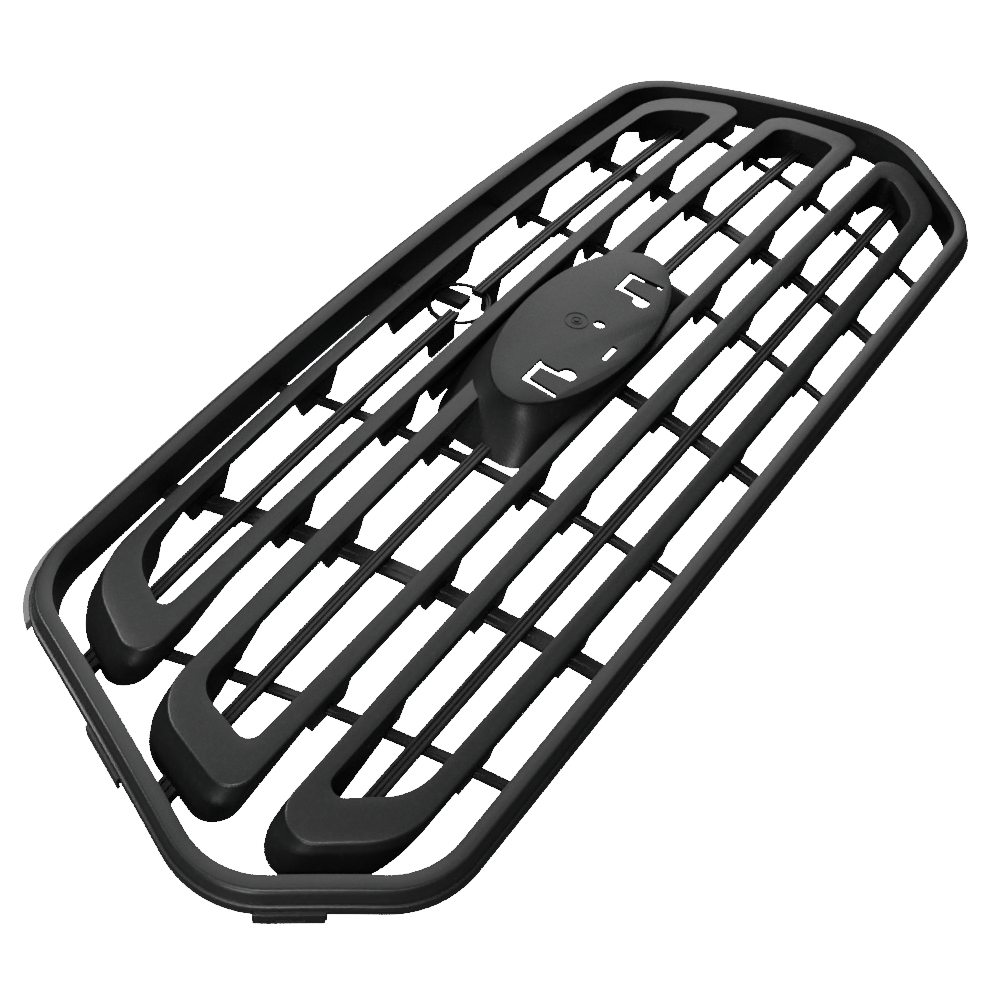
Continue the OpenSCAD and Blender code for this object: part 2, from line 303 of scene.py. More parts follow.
@dataclass(frozen=True)
class MouldedPlastic:
    """Black moulded plastic with a fine erosion grain and light handling marks."""

    name: str
    base: tuple[float, float, float] = (0.017, 0.0172, 0.018)
    dusty: tuple[float, float, float] = (0.022, 0.022, 0.023)
    roughness: float = 0.46
    roughness_spread: float = 0.10
    specular: float = 0.5
    grain_size: float = 0.8
    grain_depth: float = 0.08

    def build(self) -> bpy.types.Material:
        """Build the material.

        Returns:
            A node material on object coordinates.
        """
        material = bpy.data.materials.new(self.name)
        material.use_nodes = True
        tree = material.node_tree
        shader = tree.nodes["Principled BSDF"]
        coords = tree.nodes.new("ShaderNodeTexCoord")
        grain = tree.nodes.new("ShaderNodeGroup")
        grain.node_tree = grain_group()
        grain.inputs["Grain Size"].default_value = self.grain_size
        tree.links.new(coords.outputs["Object"], grain.inputs["Vector"])
        colour = tree.nodes.new("ShaderNodeMix")
        colour.data_type = "RGBA"
        colour.inputs["A"].default_value = (*self.base, 1)
        colour.inputs["B"].default_value = (*self.dusty, 1)
        tree.links.new(grain.outputs["Dust"], colour.inputs["Factor"])
        tree.links.new(colour.outputs["Result"], shader.inputs["Base Color"])
        rough = tree.nodes.new("ShaderNodeMapRange")
        rough.inputs["To Min"].default_value = self.roughness - self.roughness_spread / 2
        rough.inputs["To Max"].default_value = self.roughness + self.roughness_spread / 2
        tree.links.new(grain.outputs["Patches"], rough.inputs["Value"])
        tree.links.new(rough.outputs["Result"], shader.inputs["Roughness"])
        bump = tree.nodes.new("ShaderNodeBump")
        bump.inputs["Strength"].default_value = 0.55
        bump.inputs["Distance"].default_value = self.grain_depth * MM
        tree.links.new(grain.outputs["Height"], bump.inputs["Height"])
        tree.links.new(bump.outputs["Normal"], shader.inputs["Normal"])
        shader.inputs["IOR"].default_value = 1.49
        shader.inputs["Specular IOR Level"].default_value = self.specular
        return material


def grain_group() -> bpy.types.NodeTree:
    """Make, once, the node group of moulding grain, dull patches and dust.

    Returns:
        The shared shader node group.
    """
    known = bpy.data.node_groups.get("moulding_grain")
    if known:
        return known
    group = bpy.data.node_groups.new("moulding_grain", "ShaderNodeTree")
    face = group.interface
    face.new_socket("Vector", in_out="INPUT", socket_type="NodeSocketVector")
    size = face.new_socket("Grain Size", in_out="INPUT", socket_type="NodeSocketFloat")
    size.default_value = 0.55
    for name in ("Height", "Patches", "Dust"):
        face.new_socket(name, in_out="OUTPUT", socket_type="NodeSocketFloat")
    nodes, links = group.nodes, group.links
    entry, leave = nodes.new("NodeGroupInput"), nodes.new("NodeGroupOutput")
    scale = nodes.new("ShaderNodeMath")
    scale.operation = "DIVIDE"
    scale.inputs[0].default_value = 1000.0
    links.new(entry.outputs["Grain Size"], scale.inputs[1])
    cells = nodes.new("ShaderNodeTexVoronoi")
    cells.feature = "SMOOTH_F1"
    links.new(entry.outputs["Vector"], cells.inputs["Vector"])
    links.new(scale.outputs[0], cells.inputs["Scale"])
    fine = nodes.new("ShaderNodeTexNoise")
    fine.inputs["Detail"].default_value = 3.0
    links.new(entry.outputs["Vector"], fine.inputs["Vector"])
    links.new(scale.outputs[0], fine.inputs["Scale"])
    height = nodes.new("ShaderNodeMath")
    height.operation = "ADD"
    links.new(cells.outputs["Distance"], height.inputs[0])
    links.new(fine.outputs["Fac"], height.inputs[1])
    links.new(height.outputs[0], leave.inputs["Height"])
    broad = nodes.new("ShaderNodeTexNoise")
    broad.inputs["Scale"].default_value = 14.0
    broad.inputs["Detail"].default_value = 5.0
    links.new(entry.outputs["Vector"], broad.inputs["Vector"])
    links.new(broad.outputs["Fac"], leave.inputs["Patches"])
    specks = nodes.new("ShaderNodeTexNoise")
    specks.inputs["Scale"].default_value = 260.0
    specks.inputs["Detail"].default_value = 4.0
    links.new(entry.outputs["Vector"], specks.inputs["Vector"])
    ramp = nodes.new("ShaderNodeMapRange")
    ramp.inputs["From Min"].default_value = 0.52
    ramp.inputs["From Max"].default_value = 0.80
    links.new(specks.outputs["Fac"], ramp.inputs["Value"])
    dust = nodes.new("ShaderNodeMath")
    dust.operation = "MULTIPLY"
    links.new(ramp.outputs["Result"], dust.inputs[0])
    links.new(broad.outputs["Fac"], dust.inputs[1])
    links.new(dust.outputs[0], leave.inputs["Dust"])
    return group


@dataclass
class Workshop:
    """Finishes meshes into pieces that ride on the part; the lip's pale grey finish is a painted highlight,
    standing in for light that catches the lip.
    """

    materials: dict[Slot, bpy.types.Material] = field(default_factory=dict)
    painted_lip_sheen: bpy.types.Material | None = None
    made: list[bpy.types.Object] = field(default_factory=list)

    def stock(self) -> None:
        """Build the finish of each slot."""
        black = (0.011, 0.0112, 0.0118)
        finishes = {
            Slot.SURROUND: MouldedPlastic("surround_moulding", base=black, roughness=0.40),
            Slot.BARS: MouldedPlastic("bar_moulding", base=black, roughness=0.42),
            Slot.RIBS: MouldedPlastic("rib_moulding", base=(0.013, 0.0132, 0.014), roughness=0.5),
            Slot.POD: MouldedPlastic("pod_moulding", base=black, roughness=0.40, specular=0.36),
        }
        self.materials = {slot: finish.build() for slot, finish in finishes.items()}
        # Painted highlight: the lip's pale grey base stands in for light catching the lip, which is otherwise
        # like the black mouldings.
        self.painted_lip_sheen = MouldedPlastic(
            "lip_painted_sheen", base=(0.16, 0.16, 0.162), dusty=(0.24, 0.24, 0.24), roughness=0.5
        ).build()

    def deliver(
        self, bm: bmesh.types.BMesh, name: str, slot: Slot, nodes: Sequence[str],
        weld: bool = True, smooth: float = 32.0,
    ) -> bpy.types.Object:
        """Turn a finished mesh in row millimetres into a piece.

        Args:
            bm: The mesh, which is freed.
            name: Name of the piece.
            slot: Material slot that it takes its finish from.
            nodes: CAD nodes that it stands for.
            weld: Whether doubles are merged first.
            smooth: Largest angle, in degrees, that is shaded smooth.

        Returns:
            The new object.
        """
        if weld:
            bmesh.ops.remove_doubles(bm, verts=bm.verts, dist=0.01)
        bmesh.ops.recalc_face_normals(bm, faces=bm.faces)
        bmesh.ops.scale(bm, vec=(MM, MM, MM), verts=bm.verts)
        mesh = bpy.data.meshes.new(name)
        bm.to_mesh(mesh)
        bm.free()
        mesh.shade_smooth()
        mesh.set_sharp_from_angle(angle=math.radians(smooth))
        piece = bpy.data.objects.new(name, mesh)
        bpy.context.scene.collection.objects.link(piece)
        piece.data.materials.append(self.materials[slot])
        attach(piece, "root")
        if nodes:
            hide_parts(*nodes)
        self.made.append(piece)
        LOG.info("%s: %d faces", name, len(mesh.polygons))
        return piece


UPPER_OUTER = Outline(145.8, 60.7, (Corner(369.7, 148.4, 58), Corner(409.6, 68.5, 17.5)))
UPPER_WINDOW = Outline(131.6, 74.1, (Corner(342, 132.7, 41), Corner(367.3, 84.2, 7)))
MIDDLE_OUTER = Outline(39.1, -50.4, (Corner(419.5, 45.1, 37), Corner(442.8, -39.1, 18.4)))
MIDDLE_WINDOW = Outline(23.5, -38, (Corner(394.7, 28.1, 19.8), Corner(407.8, -23.7, 9.2)))
LOWER_OUTER = Outline(-70.6, -148.6, (Corner(457.9, -62, 19.8), Corner(396.2, -137.3, 59)))
LOWER_WINDOW = Outline(-86.5, -133.6, (Corner(409.2, -77, 8), Corner(371.2, -122.8, 45)))
SURROUND = Outline(
    169.7, -167.2, (Corner(390.3, 174.1, 49.5), Corner(479.8, -57.2, 57.5), Corner(400.7, -158.7, 57.5))
)


@dataclass
class Surround:
    """The surround with its face, rounded ridge, sloping band and walls."""

    face_level: float = 26.6
    ridge_level: float = 29.6
    ridge_offset: float = 10.6
    width: float = 17.0
    wall: float = 3.0
    shoulder: float = 20.0
    back_level: float = 12.0
    inner_back_level: float = -4.5

    def build(self, shop: Workshop) -> None:
        """Sweep the section of the surround and deliver it."""
        bm = bmesh.new()
        ridge, face, top, width = self.ridge_offset, self.face_level, self.ridge_level, self.width
        section = (
            (0.0, self.inner_back_level), (0.0, face - 1.0), (0.25, face - 0.35), (0.9, face),
            (ridge * 0.4, face + 1.5), (ridge * 0.7, face + 2.4), (ridge - 1.4, top - 0.25),
            (ridge - 0.3, top), (ridge + 0.8, top - 0.35), (ridge + 1.6, top - 1.2), (ridge + 2.1, top - 2.3),
            (width - 3.0, self.shoulder + 1.6), (width - 2.5, self.shoulder + 0.4),
            (width - 1.9, self.shoulder + 0.5), (width - 0.6, self.shoulder + 0.1),
            (width, self.shoulder - 1.0), (width, self.back_level + 0.5),
            (width - 0.5, self.back_level), (width - self.wall, self.back_level),
            (width - self.wall, self.shoulder - 2.0), (self.wall, face - 4.0),
            (self.wall, self.inner_back_level),
        )
        sweep(bm, [Station(SURROUND, offset, level) for offset, level in section])
        NOSE.drape(bm)
        shop.deliver(bm, "surround", Slot.SURROUND, ["surround_frame"])


@dataclass
class BarLoop:
    """A loop of two bars with webs, and a fin over each rib.

    Towards the ends the outer wall gets deep over `ease` and leans outwards by `shift`; the window's
    wall gets deep over `window_ease`. A middle tip is half the length of an upper or lower bar's long
    fin across the middle, or 0.
    """

    name: str
    outer: Outline
    window: Outline
    nodes: tuple[str, ...]
    fin_ribs: tuple[tuple[int, ...], tuple[int, ...]]
    ease: tuple[float, float]
    window_ease: tuple[float, float]
    flare: float = 1.0
    shift: tuple[float, float] = (12.5, 5.0)
    middle_tips: tuple[float, float] = (0.0, 0.0)
    face: float = 28.0
    lip: float = 7.0
    deep: float = 1.5
    web_depth: float = 11.0
    web_thickness: float = 4.6
    fin_bottom: float = -7.0
    fin_half: float = 16.0
    fin_slope: float = 10.0

    def section(self) -> list[Station]:
        """List the lines of the channel section, from the outer lip inwards."""
        top, lip, deep, under = self.face, self.face - self.lip, self.deep, self.face - 3.0
        waist = 18.0

        def outer(
            offset: float, level: float, end: float | None = None, far: float | None = None, part: float = 0.0
        ) -> Station:
            move = (self.shift[0] * part, self.shift[1] * part)
            return Station(self.outer, offset, level, end, far, self.ease, end_shift=move)

        def inner(
            offset: float, level: float, end: float | None = None, far: float | None = None
        ) -> Station:
            return Station(self.window, offset, level, end, far, self.window_ease)

        def between(inset: float, level: float, share: float) -> Station:
            return Station(
                self.outer, -inset, level, ease=self.ease,
                toward=self.window, toward_offset=inset, share=share,
            )

        return [
            outer(0.0, lip, deep, self.flare, 1.0), outer(0.0, lip + 1.0, 9.0, self.flare * 0.9, 0.88),
            outer(0.0, lip + 2.0, waist, self.flare * 0.5, 0.48),
            outer(0.0, top - 2.2), outer(-0.15, top - 1.4), outer(-0.6, top - 0.6), outer(-1.3, top - 0.15),
            outer(-2.2, top), between(1.8, top, 0.33), between(1.8, top, 0.67),
            inner(1.3, top), inner(0.6, top - 0.15), inner(0.15, top - 0.65), inner(0.0, top - 1.3),
            inner(0.0, lip, deep - 5.0, -1.0), inner(1.8, lip, deep - 5.0, 0.8),
            inner(2.4, under), between(2.4, under, 0.67), between(2.4, under, 0.33),
            outer(-2.4, under), outer(-2.4, lip + 2.0, waist, self.flare * 0.5 - 2.4, 0.48),
            outer(-1.8, lip, deep, self.flare - 1.8, 1.0),
        ]

    def middle_line(self, upper: bool) -> Callable[[float], float]:
        """Give the height of a bar's middle as a function of x."""

        def at(x: float) -> float:
            out, win = self.outer, self.window
            i = 0 if upper else -1
            mids = (out.top_middle, win.top_middle) if upper else (out.low_middle, win.low_middle)
            a = bowed(mids[0], out.ends[i].y, out.ends[i].x, x)
            b = bowed(mids[1], win.ends[i].y, win.ends[i].x, x)
            return (a + b) / 2

        return at

    def web(self, bm: bmesh.types.BMesh, upper: bool, reach: float) -> None:
        """Add a bar's web and its fins."""
        line = self.middle_line(upper)
        half, top = self.web_thickness / 2, self.face - 2.0
        low = self.face - self.web_depth
        strip = bmesh.new()
        corners = [(-reach, low), (reach, low), (reach, top), (-reach, top)]
        prism(strip, [Vector((x, -half, z)) for x, z in corners], Vector((0, 2 * half, 0)))
        sliced(strip, 0, -reach, reach, 14.0)
        bend(strip, line)
        join(bm, strip)
        for rib in self.fin_ribs[0 if upper else 1]:
            x = rib_x(rib, line(rib_x(rib, 0)))
            self.fin(bm, x, line, half + 0.3, self.fin_half)
        middle_tip = self.middle_tips[0 if upper else 1]
        if middle_tip:
            self.fin(bm, 0.0, line, half, middle_tip)

    def fin(
        self, bm: bmesh.types.BMesh, x: float, line: Callable[[float], float], half: float, tip: float
    ) -> None:
        """Add a deep trapezoid of web, such as the ones that straddle a rib.

        Args:
            bm: Mesh that receives the fin.
            x: Middle of the fin.
            line: Height of the bar's middle at any x.
            half: Half the thickness.
            tip: Half the length at the back.
        """
        root = tip + self.fin_slope
        low, top = self.fin_bottom, self.face - self.web_depth + 1.5
        fin = bmesh.new()
        corners = [(-tip, low), (tip, low), (root, top), (-root, top)]
        made = prism(fin, [Vector((x + u, -half, z)) for u, z in corners], Vector((0, 2 * half, 0)))
        for vert in made:
            if vert.co.z < low + 1:
                vert.co.y *= 0.78
        softened(fin, 0.5, 2)
        sliced(fin, 0, x - root, x + root, 9.0)
        bend(fin, line)
        join(bm, fin)

    def build(self, shop: Workshop) -> None:
        """Build the loop and deliver it."""
        bm = bmesh.new()
        sweep(bm, self.section())
        for upper in (True, False):
            corner = self.window.ends[0 if upper else -1]
            self.web(bm, upper, corner.x - corner.radius * 0.4)
        NOSE.drape(bm)
        shop.deliver(bm, self.name, Slot.BARS, self.nodes, weld=False)


def bend(bm: bmesh.types.BMesh, line: Callable[[float], float]) -> None:
    """Shift a straight member sideways so that it follows a bowed line."""
    for vert in bm.verts:
        vert.co.y += line(vert.co.x)


def join(target: bmesh.types.BMesh, part: bmesh.types.BMesh) -> None:
    """Add one mesh to another and free it."""
    mesh = bpy.data.meshes.new("joining")
    bmesh.ops.recalc_face_normals(part, faces=part.faces)
    part.to_mesh(mesh)
    part.free()
    target.from_mesh(mesh)
    bpy.data.meshes.remove(mesh)


@dataclass
class Slat:
    """A slender grooved slat with small fins over the ribs.

    `fin_shape` gives a fin's half length at the back and at the root, and the level of its back.
    """

    name: str
    node: str
    middle: float
    end: float
    start_x: float
    stop_x: float
    ribs: tuple[int, ...]
    front: float = 9.2
    depth: float = 6.5
    width: float = 10.4
    groove: float = 1.0
    web_thickness: float = 4.0
    fin_shape: tuple[float, float, float] = (13.0, 20.0, -4.0)
    collar_web: bool = False

    def line(self, x: float) -> float:
        """Give the slat's height at x."""
        return bowed(self.middle, self.end, 287.5, x)

    def section(self) -> list[tuple[float, float]]:
        """List the section's (height, level) corners: three ridges and two grooves."""
        h, f, g = self.width / 2, self.front, self.groove
        back = f - self.depth
        half = [
            (0.0, f), (0.8, f - 0.15), (1.25, f - g), (1.9, f - g), (2.35, f - 0.15), (3.2, f),
            (4.3, f - 0.1), (h - 0.25, f - 0.5), (h, f - 1.2),
        ]
        right = half[::-1]
        left = [(-y, z) for y, z in half[1:]]
        return [(h - 0.9, back), *right, *left, (0.9 - h, back)]

    def web(
        self, bm: bmesh.types.BMesh, corners: Sequence[tuple[float, float]], rounding: float = 0.0
    ) -> None:
        """Add a web under the slat.

        Args:
            bm: Mesh that receives the web.
            corners: Its (x, level) corners.
            rounding: Radius of its edges, or 0 for sharp ones.
        """
        half = self.web_thickness / 2
        part = bmesh.new()
        prism(part, [Vector((x, -half, z)) for x, z in corners], Vector((0, 2 * half, 0)))
        if rounding:
            softened(part, rounding, 2)
        bend(part, self.line)
        join(bm, part)

    def build(self, shop: Workshop) -> None:
        """Build the slat and deliver it."""
        bm = bmesh.new()
        ring = [Vector((self.start_x, y, z)) for y, z in self.section()]
        prism(bm, ring, Vector((self.stop_x - self.start_x, 0, 0)))
        sliced(bm, 0, self.start_x, self.stop_x, 14.0)
        bend(bm, self.line)
        tip, root, low = self.fin_shape
        top = self.front - self.depth + 1
        for rib in self.ribs:
            x = rib_x(rib, self.middle)
            corners = [(x - tip, low), (x + tip, low), (x + root, top), (x - root, top)]
            self.web(bm, corners, 0.4)
        if self.collar_web:
            side = math.copysign(1.0, self.start_x + self.stop_x)
            start, stop, deep = (15.0 if side < 0 else 26.0), 45.0, -20.0
            corners = [(start, deep), (stop, deep), (stop + 5, top), (start, top)]
            self.web(bm, [(side * u, z) for u, z in corners])
        NOSE.drape(bm)
        shop.deliver(bm, self.name, Slot.BARS, [self.node], weld=False)


@dataclass
class Rib:
    """An upright flat rib with a low ridge along its middle; the fourth makes room for the collar."""

    index: int
    width: float
    thickness: float = 4.2
    ridge: float = 0.9
    seat_radii: tuple[float, float] = (25.4, 24.2)
    seat_levels: tuple[float, float] = (1.8, 4.2)
    stub_heights: tuple[float, float] = (110.5, 137.0)

    def build(self, shop: Workshop) -> None:
        """Build the rib, leaning by the fan, and deliver it."""
        half, t = self.width / 2, self.thickness
        rise = self.ridge
        core = min(1.6, half * 0.35)
        section = [
            (-half + 0.3, -t), (half - 0.3, -t), (half, -0.7), (half - 0.5, 0.0), (core + 0.9, 0.0),
            (core, rise), (-core, rise), (-core - 0.9, 0.0), (-half + 0.5, 0.0), (-half, -0.7),
        ]
        low, high = self.reach()
        bm = bmesh.new()
        gap = self.seat_radii[1]
        spans = [(low, high)]
        if self.index == 3:
            spans = [(low, COLLAR_HEIGHT - gap), (COLLAR_HEIGHT + gap, high)]
        for start, stop in spans:
            prism(bm, [Vector((x, start, z)) for x, z in section], Vector((0, stop - start, 0)))
        sliced(bm, 1, low, high, 12.0)
        spot = RIB_SPOTS[self.index]
        lean = spot * RIB_FAN
        for vert in bm.verts:
            vert.co.x += spot + lean * vert.co.y
        if self.index == 3:
            self.seat(bm)
        NOSE.drape(bm)
        name = f"rib_{self.index + 1}"
        shop.deliver(bm, f"{name}_bar", Slot.RIBS, [name], weld=False)

    def reach(self) -> tuple[float, float]:
        """Give the heights at which the rib enters the surround's inner wall."""
        spot = abs(RIB_SPOTS[self.index])
        if spot < 300:
            return -168.6, 171.4
        return -158.0, 77.0

    def seat(self, bm: bmesh.types.BMesh) -> None:
        """Add the round seat around the lock collar, and the stub that ends inside the ring."""
        low, high = self.seat_levels
        plate = bmesh.new()
        for radius in self.seat_radii:
            ring = bmesh.ops.create_circle(plate, cap_ends=False, segments=48, radius=radius)["verts"]
            bmesh.ops.translate(plate, vec=(0, COLLAR_HEIGHT, 0), verts=ring)
        bmesh.ops.bridge_loops(plate, edges=plate.edges)
        top = bmesh.ops.extrude_face_region(plate, geom=plate.faces[:])["geom"]
        moved = [g for g in top if isinstance(g, bmesh.types.BMVert)]
        bmesh.ops.translate(plate, vec=(0, 0, low - high), verts=moved)
        bmesh.ops.translate(plate, vec=(0, 0, high), verts=plate.verts)
        join(bm, plate)
        stub = bmesh.new()
        start, stop = self.stub_heights
        section = ((1.4, -5.0), (14.6, -5.0), (14.6, 2.0), (1.4, 2.0))
        prism(stub, [Vector((x, start, z)) for x, z in section], Vector((0, stop - start, 0)))
        join(bm, stub)


@dataclass
class LockCollar:
    """The round collar above the pod."""

    height: float = COLLAR_HEIGHT
    bore: float = 21.8
    radius: float = 24.4
    front: float = 55.9
    back: float = 53.4

    def build(self, shop: Workshop) -> None:
        """Spin the collar's section and deliver it."""
        bm = bmesh.new()
        section = (
            (self.bore, self.back), (self.radius, self.back), (self.radius, self.front - 0.8),
            (self.radius - 0.3, self.front - 0.2), (self.radius - 0.9, self.front),
            (self.bore + 0.9, self.front), (self.bore + 0.3, self.front - 0.2), (self.bore, self.front - 0.8),
        )
        centre = Vector((0, self.height + NOSE.badge_y, 0))
        ring = [bm.verts.new(centre + Vector((r, 0, z))) for r, z in section]
        edges = [bm.edges.new((a, b)) for a, b in zip(ring, ring[1:] + ring[:1])]
        bmesh.ops.spin(
            bm, geom=ring + edges, cent=centre, axis=(0, 0, 1), angle=math.tau, steps=64, use_merge=True,
        )
        shop.deliver(bm, "collar", Slot.POD, ["lock_collar"])


LOBE_TURN = tuple(range(95, -135, -12))


@dataclass
class BadgePod:
    """The oval pod with concave flanks, and its flat badge plate.

    The flanks ease from the plate to the base by `powers`, in length and in height, and get blunter
    towards the base. `base_top` is the base's half height on the side of the top edge.
    """

    plate: tuple[float, float] = (202.0, 98.0)
    base: tuple[float, float] = (253.0, 80.0)
    base_top: float = 64.0
    powers: tuple[float, float] = (1.7, 0.5)
    plate_front: float = 98.47
    base_level: float = 0.4
    plate_thickness: float = 3.0
    segments: int = 96
    rings: int = 10

    def oval(
        self, bm: bmesh.types.BMesh, size: tuple[float, float], z: float, bluntness: float = 2.0,
        top: float | None = None,
    ) -> list[bmesh.types.BMEdge]:
        """Add an oval line in row millimetres.

        Args:
            bm: Mesh that receives the line.
            size: Length and height of the oval.
            z: Level of the line.
            bluntness: 2 gives an ellipse, more a fuller oval.
            top: Half height above the middle, where it differs from the half below.

        Returns:
            The edges of the line.
        """
        verts = bmesh.ops.create_circle(bm, cap_ends=False, segments=self.segments, radius=1.0)["verts"]
        for vert in verts:
            x, y = (math.copysign(abs(c) ** (2 / bluntness), c) for c in vert.co.xy)
            half = size[1] / 2 if y < 0 or top is None else top
            vert.co = (x * size[0] / 2, y * half + NOSE.badge_y, z)
        return list(dict.fromkeys(e for v in verts for e in v.link_edges))

    def flanks(self, shop: Workshop) -> None:
        """Bridge ovals into the concave flanks, open at both ends, and deliver the pod."""
        bm = bmesh.new()
        top = self.plate_front - self.plate_thickness
        bottom = NOSE.lift + self.base_level
        sizes = []
        for i in range(self.rings + 1):
            t = i / self.rings
            size = tuple(
                p + (b - p) * (1 - t) ** power for p, b, power in zip(self.plate, self.base, self.powers)
            )
            rise = self.plate[1] / 2 + (self.base_top - self.plate[1] / 2) * (1 - t) ** 0.8
            sizes.append((size, bottom + (top - bottom) * t, 2 + 2.2 * (1 - t), rise))
        wall = 6.0
        inner = [((a - wall, b - wall), z, blunt, rise - wall / 2) for (a, b), z, blunt, rise in sizes]
        loops = [self.oval(bm, size, z, blunt, rise) for size, z, blunt, rise in sizes + inner[::-1]]
        for first, second in zip(loops, loops[1:] + loops[:1]):
            bmesh.ops.bridge_loops(bm, edges=first + second)
        shop.deliver(bm, "pod_flanks", Slot.POD, ["badge_pod"])

    def face(self, shop: Workshop) -> None:
        """Build the badge plate, cut its slots and deliver it."""
        bm = bmesh.new()
        low, high = self.plate_front - self.plate_thickness, self.plate_front
        length, height = self.plate
        steps = (
            (0.0, low), (0.0, high - 1.0), (-0.6, high - 0.3), (-2.0, high),
        )
        loops = [self.oval(bm, (length + o, height + o), z) for o, z in steps]
        for first, second in zip(loops, loops[1:]):
            bmesh.ops.bridge_loops(bm, edges=first + second)
        for loop in (loops[0], loops[-1]):
            bmesh.ops.edgeloop_fill(bm, edges=loop)
        bmesh.ops.recalc_face_normals(bm, faces=bm.faces)
        self.cut(bm)
        self.dimple(bm)
        shop.deliver(bm, "pod_plate", Slot.POD, ["badge_plate"])

    def cut(self, bm: bmesh.types.BMesh) -> None:
        """Cut the hooked slots, the round hole and the small slot through the plate."""
        cutters = bmesh.new()
        z, up = self.plate_front - 8.0, Vector((0, 0, 16.0))
        turns = [math.radians(degrees) for degrees in LOBE_TURN]
        lobe = [(-54.6 + 6.6 * math.cos(a), -20.4 + 6.6 * math.sin(a)) for a in turns]
        hook = [(-79.6, 3.8), (-53.4, 3.8), (-55.2, 0.4), (-55.5, -11.5), *lobe, (-61.0, -0.8),
                (-74.5, -0.8), (-76.3, -25.6), (-80.3, -26.0), (-79.4, -8.0)]
        shapes = [hook, [(-5.4 - x, y) for x, y in hook]]
        shapes.append([(6.6 + 4.0 * math.cos(a), -9.5 + 4.4 * math.sin(a)) for a in
                       (math.tau * i / 28 for i in range(28))])
        shapes.append([(-24.5, -34.2), (-6.9, -34.2), (-6.9, -30.0), (-24.5, -30.0)])
        for shape in shapes:
            prism(cutters, [Vector((x, y + NOSE.badge_y, z)) for x, y in shape], up)
        bmesh.ops.recalc_face_normals(cutters, faces=cutters.faces)
        subtract(bm, cutters)

    def dimple(self, bm: bmesh.types.BMesh) -> None:
        """Add the low ring and the gate mark in the middle of the plate."""
        for radius, width, rise in ((9.4, 1.0, 0.5), (4.4, 1.0, 0.5), (2.0, 1.99, 0.9)):
            ring = bmesh.new()
            centre = Vector((-1.2, 6.0 + NOSE.badge_y, self.plate_front))
            spots = ((radius, -0.6), (radius - 0.2, rise), (radius - width, rise), (radius - width, -0.6))
            verts = [ring.verts.new(centre + Vector((u, 0, z))) for u, z in spots]
            edges = [ring.edges.new((a, b)) for a, b in zip(verts, verts[1:] + verts[:1])]
            bmesh.ops.spin(
                ring, geom=verts + edges, cent=centre, axis=(0, 0, 1), angle=math.tau, steps=40,
                use_merge=True,
            )
            join(bm, ring)

    def build(self, shop: Workshop) -> None:
        """Build the pod and its plate."""
        self.flanks(shop)
        self.face(shop)


def subtract(target: bmesh.types.BMesh, cutters: bmesh.types.BMesh) -> None:
    """Cut one closed mesh out of another with a boolean, and free the cutters."""
    objects = []
    for part in (target, cutters):
        mesh = bpy.data.meshes.new("cutting")
        part.to_mesh(mesh)
        thing = bpy.data.objects.new("cutting", mesh)
        bpy.context.scene.collection.objects.link(thing)
        objects.append(thing)
    cutters.free()
    blank, tool = objects
    step = blank.modifiers.new("cut", "BOOLEAN")
    step.operation = "DIFFERENCE"
    step.solver = "EXACT"
    step.object = tool
    shaped = blank.evaluated_get(bpy.context.evaluated_depsgraph_get()).to_mesh()
    target.clear()
    target.from_mesh(shaped)
    for thing in objects:
        mesh = thing.data
        bpy.data.objects.remove(thing)
        bpy.data.meshes.remove(mesh)


